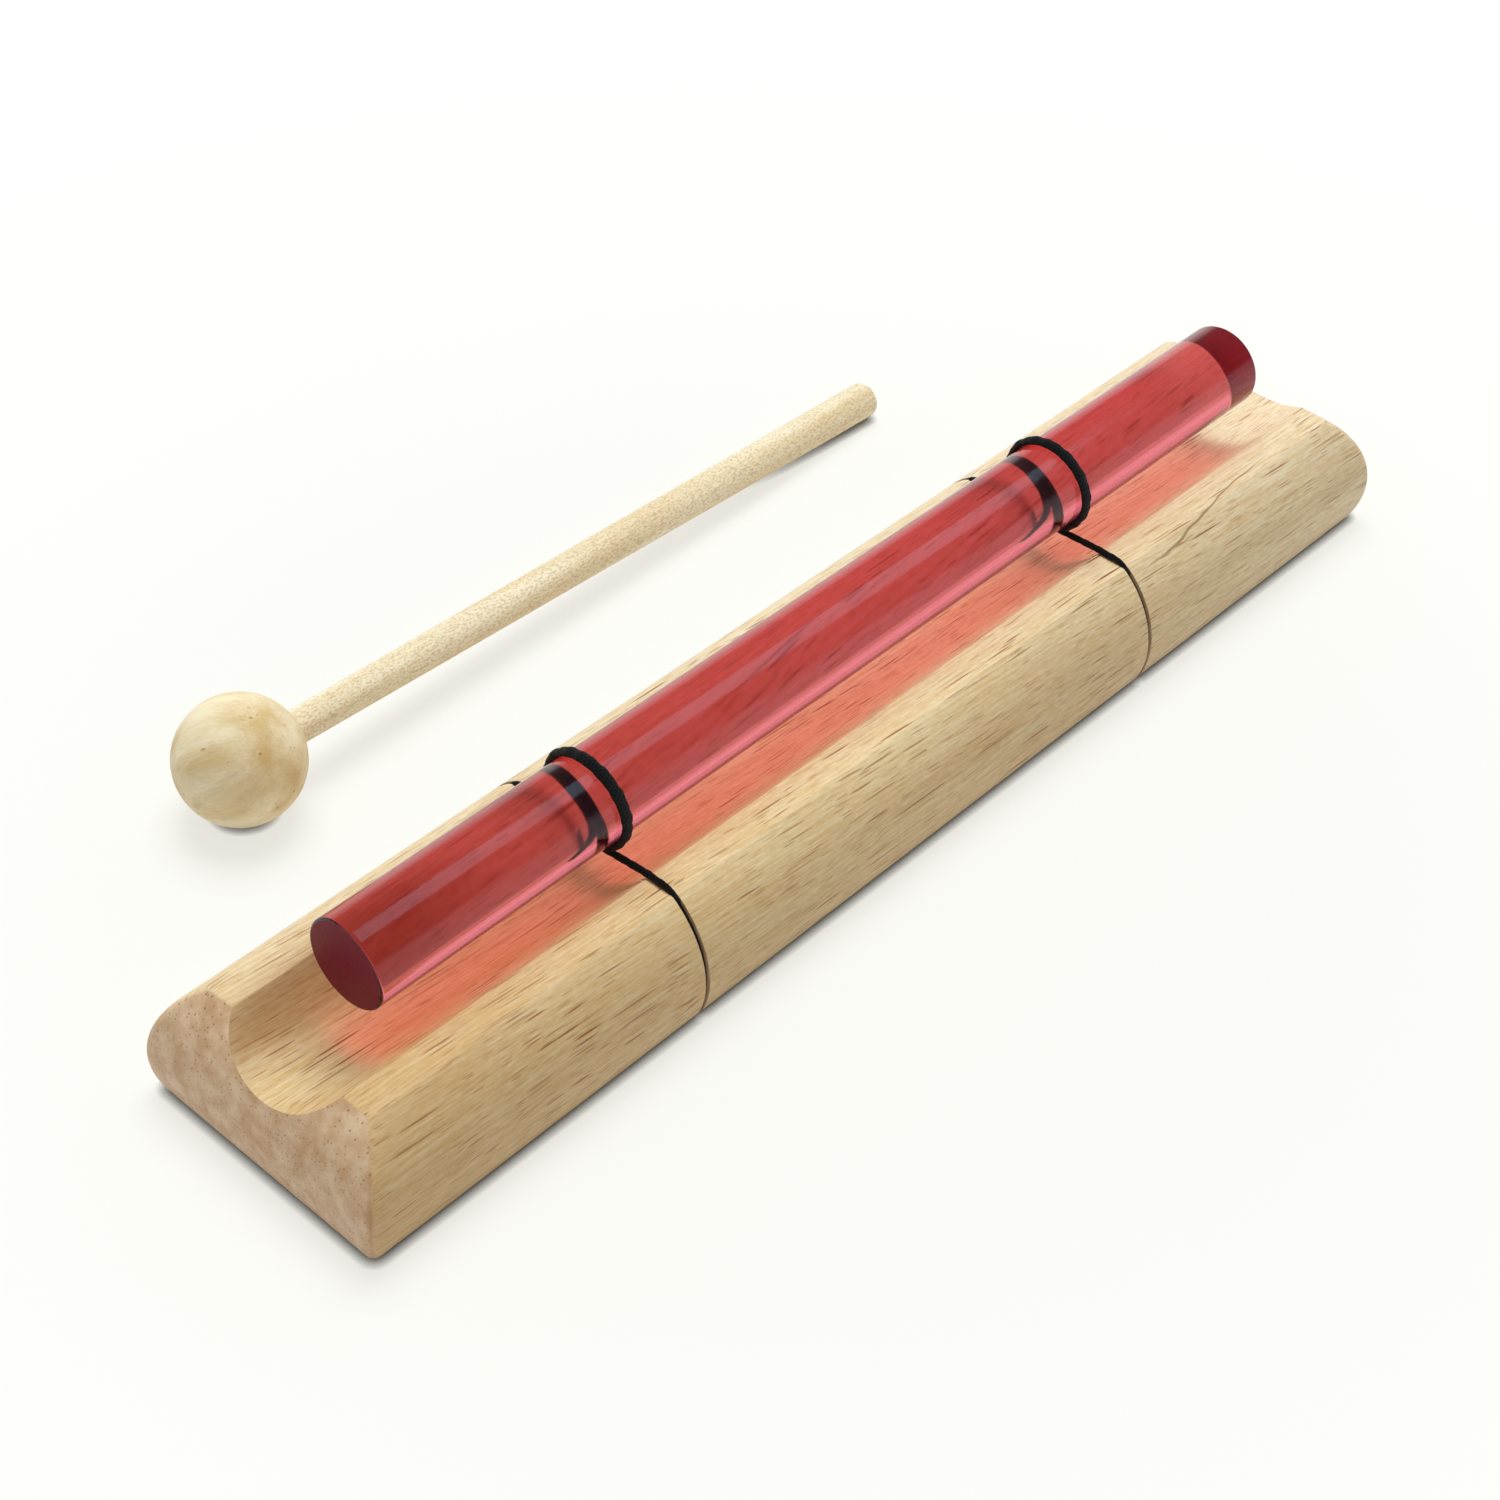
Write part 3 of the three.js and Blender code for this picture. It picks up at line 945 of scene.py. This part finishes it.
# Schima turned on a lathe and left plain: soft bands that cross the ball, and a few specks
def makeHeadWood():
    w = malletWood
    material, tree = newMaterial("turnedWood")
    turned = objectPlace(tree, w["headTurn"])
    bands = fibreNoise(tree, turned, *w["headBands"])
    threads = fibreNoise(tree, turned, *w["headThreads"])
    stains = fibreNoise(tree, turned, *w["headStains"])
    specks = poreStreaks(tree, turned, *w["headSpecks"])
    fine = addNode(tree, "Math", threads, w["threadShare"], operation="MULTIPLY")
    soft = addNode(tree, "Math", stains, w["stainShare"], operation="MULTIPLY")
    deep = linear(w["headDeep"])
    colour = addNode(tree, "Mix", bands, linear(w["headPale"]), deep, data_type="RGBA")
    colour = addNode(tree, "Mix", fine, colour, deep, data_type="RGBA", blend_type="MULTIPLY")
    colour = addNode(tree, "Mix", soft, colour, linear(w["fleck"]), data_type="RGBA")
    colour = addNode(tree, "Mix", specks, colour, linear(w["speck"]), data_type="RGBA")
    finishMalletWood(tree, colour, threads, "head")
    return material


# Birch dowel: straight fibre with short pale and dark flecks
def makeHandleWood():
    w = malletWood
    material, tree = newMaterial("birchDowel")
    place = objectPlace(tree)
    bands = fibreNoise(tree, place, *w["handleBands"])
    flecks = fibreNoise(tree, place, *w["handleFlecks"])
    marks = addNode(tree, "Math", flecks, w["fleckShare"], operation="MULTIPLY")
    colour = addNode(tree, "Mix", bands, linear(w["handlePale"]), linear(w["handleDeep"]), data_type="RGBA")
    colour = addNode(tree, "Mix", marks, colour, linear(w["fleck"]), data_type="RGBA")
    finishMalletWood(tree, colour, flecks, "handle")
    return material


makeMalletHead(makeHeadWood())
makeMalletHandle(makeHandleWood())
print("mallet ready")


# Floor and light

studio = {
    "floorHalfSize": 3000,  # millimetres
    "floorColour": "#eae9e6",
    "paperColour": "#8c908f",  # the floor as camera and reflections see it; the glow makes white paper of it
    "paperGlow": 0.69,  # near the object; it grows to 1 far away, so that the horizon stays white
    "glowColour": "#fffdf7",
    "glowReach": (0.08, 0.8),  # metres from the middle of the base
    "contactReach": 1.6,  # the glow fades out this close to where something stands on the paper
    "contactShade": 0.3,  # openness, from 0 to 1, below which it is gone
    "worldBack": 0.5,  # strength of the soft room light from behind the object, and from the camera's side
    "worldFront": 0.31,
    "worldGloss": 0.22,  # how bright the room above the horizon shows in polished and through clear surfaces
    "horizonHeight": (0.16, 0.3),  # sines of the angles between which the white surroundings give way to it
    "keyPlace": (0.5, 0.46, 2),  # the lamps' places and sizes are metres
    "keyPower": 35,
    "keySize": 1.3,
    "keyColour": "#ffffff",
    "windowPlace": (0.97, -0.05, 1.68),
    "windowPower": 5.2,  # a dim pane of pale blue sky, which only glossy surfaces show
    "windowSize": 0.9,
    "windowColour": "#bcf3ff",
    "lampAim": (0, 0, 0.02),
}


# 1 for what the camera sees straight, in a gloss or through clear glass, and 0 for rays that light things
def seenRays(tree):
    path = addNode(tree, "LightPath")
    mirrored = addNode(tree, "Math", path.outputs["Is Glossy Ray"], path.outputs["Is Transmission Ray"],
                       operation="MAXIMUM")
    straight = addNode(tree, "Math", path.outputs["Diffuse Depth"], 0.5, operation="LESS_THAN")
    seen = addNode(tree, "Math", mirrored, straight, operation="MULTIPLY")
    return addNode(tree, "Math", path.outputs["Is Camera Ray"], seen, operation="MAXIMUM")


# Matt white studio paper. It lights the object by its own colour, and where it is seen it glows to white,
# except close to what stands on it.
def makeFloor():
    s = studio
    material, tree = newMaterial("paperFloor")
    lighting = addNode(tree, "BsdfDiffuse", Color=linear(s["floorColour"]))
    paper = addNode(tree, "BsdfDiffuse", Color=linear(s["paperColour"]))
    openness = addNode(tree, "AmbientOcclusion", Distance=mm(s["contactReach"]), samples=4).outputs["AO"]
    clear = addNode(tree, "MapRange", Value=openness, From_Min=s["contactShade"])
    away = addNode(tree, "VectorMath", addNode(tree, "TexCoord").outputs["Object"], operation="LENGTH")
    glowHere = addNode(tree, "MapRange", Value=away, From_Min=s["glowReach"][0], From_Max=s["glowReach"][1],
                       To_Min=s["paperGlow"], To_Max=1)
    strength = addNode(tree, "Math", clear, glowHere, operation="MULTIPLY")
    glow = addNode(tree, "Emission", Color=linear(s["glowColour"]), Strength=strength)
    both = addNode(tree, "AddShader", paper, glow)
    mixed = addNode(tree, "MixShader", seenRays(tree), lighting, both)
    addNode(tree, "OutputMaterial", Surface=mixed)
    bm = bmesh.new()
    bmesh.ops.create_grid(bm, x_segments=1, y_segments=1, size=mm(s["floorHalfSize"]))
    floor = finishPiece(bm, "floor", material)


# Soft room light, brighter from behind the object; camera rays see it white, and reflections its horizon
def makeWorld():
    s = studio
    world = bpy.data.worlds.new("studio")
    world.use_nodes = True
    tree = world.node_tree
    tree.nodes.clear()
    towards = addNode(tree, "SeparateXYZ", addNode(tree, "TexCoord").outputs["Generated"])
    room = addNode(tree, "MapRange", Value=towards.outputs["Y"], From_Min=-1, To_Min=s["worldFront"],
                   To_Max=s["worldBack"])
    horizon = addNode(tree, "MapRange", Value=towards.outputs["Z"], From_Min=s["horizonHeight"][0],
                      From_Max=s["horizonHeight"][1], To_Min=1, To_Max=s["worldGloss"])
    isCamera = addNode(tree, "LightPath").outputs["Is Camera Ray"]
    shown = addNode(tree, "Math", isCamera, horizon, operation="MAXIMUM")
    strength = addNode(tree, "MapRange", Value=seenRays(tree), To_Min=room, To_Max=shown)
    background = addNode(tree, "Background", Color=(1, 1, 1, 1), Strength=strength)
    addNode(tree, "OutputWorld", Surface=background)
    bpy.context.scene.world = world


# The key lights matt surfaces and the window shows in glossy ones
def makeLamp(name):
    s = studio
    data = bpy.data.lights.new(name, "AREA")
    data.energy = s[name + "Power"]
    data.size = s[name + "Size"]
    data.color = linear(s[name + "Colour"])[:3]
    lamp = bpy.data.objects.new(name, data)
    place = Vector(s[name + "Place"])
    turn = (place - Vector(s["lampAim"])).to_track_quat("Z", "Y")
    lamp.matrix_world = Matrix.Translation(place) @ turn.to_matrix().to_4x4()
    lamp.visible_glossy = name == "window"
    lamp.visible_diffuse = name == "key"
    lamp.visible_transmission = False
    bpy.context.scene.collection.objects.link(lamp)


makeFloor()
makeWorld()
makeLamp("key")
makeLamp("window")
bpy.context.scene.view_settings.view_transform = "Standard"
print("floor and light ready")
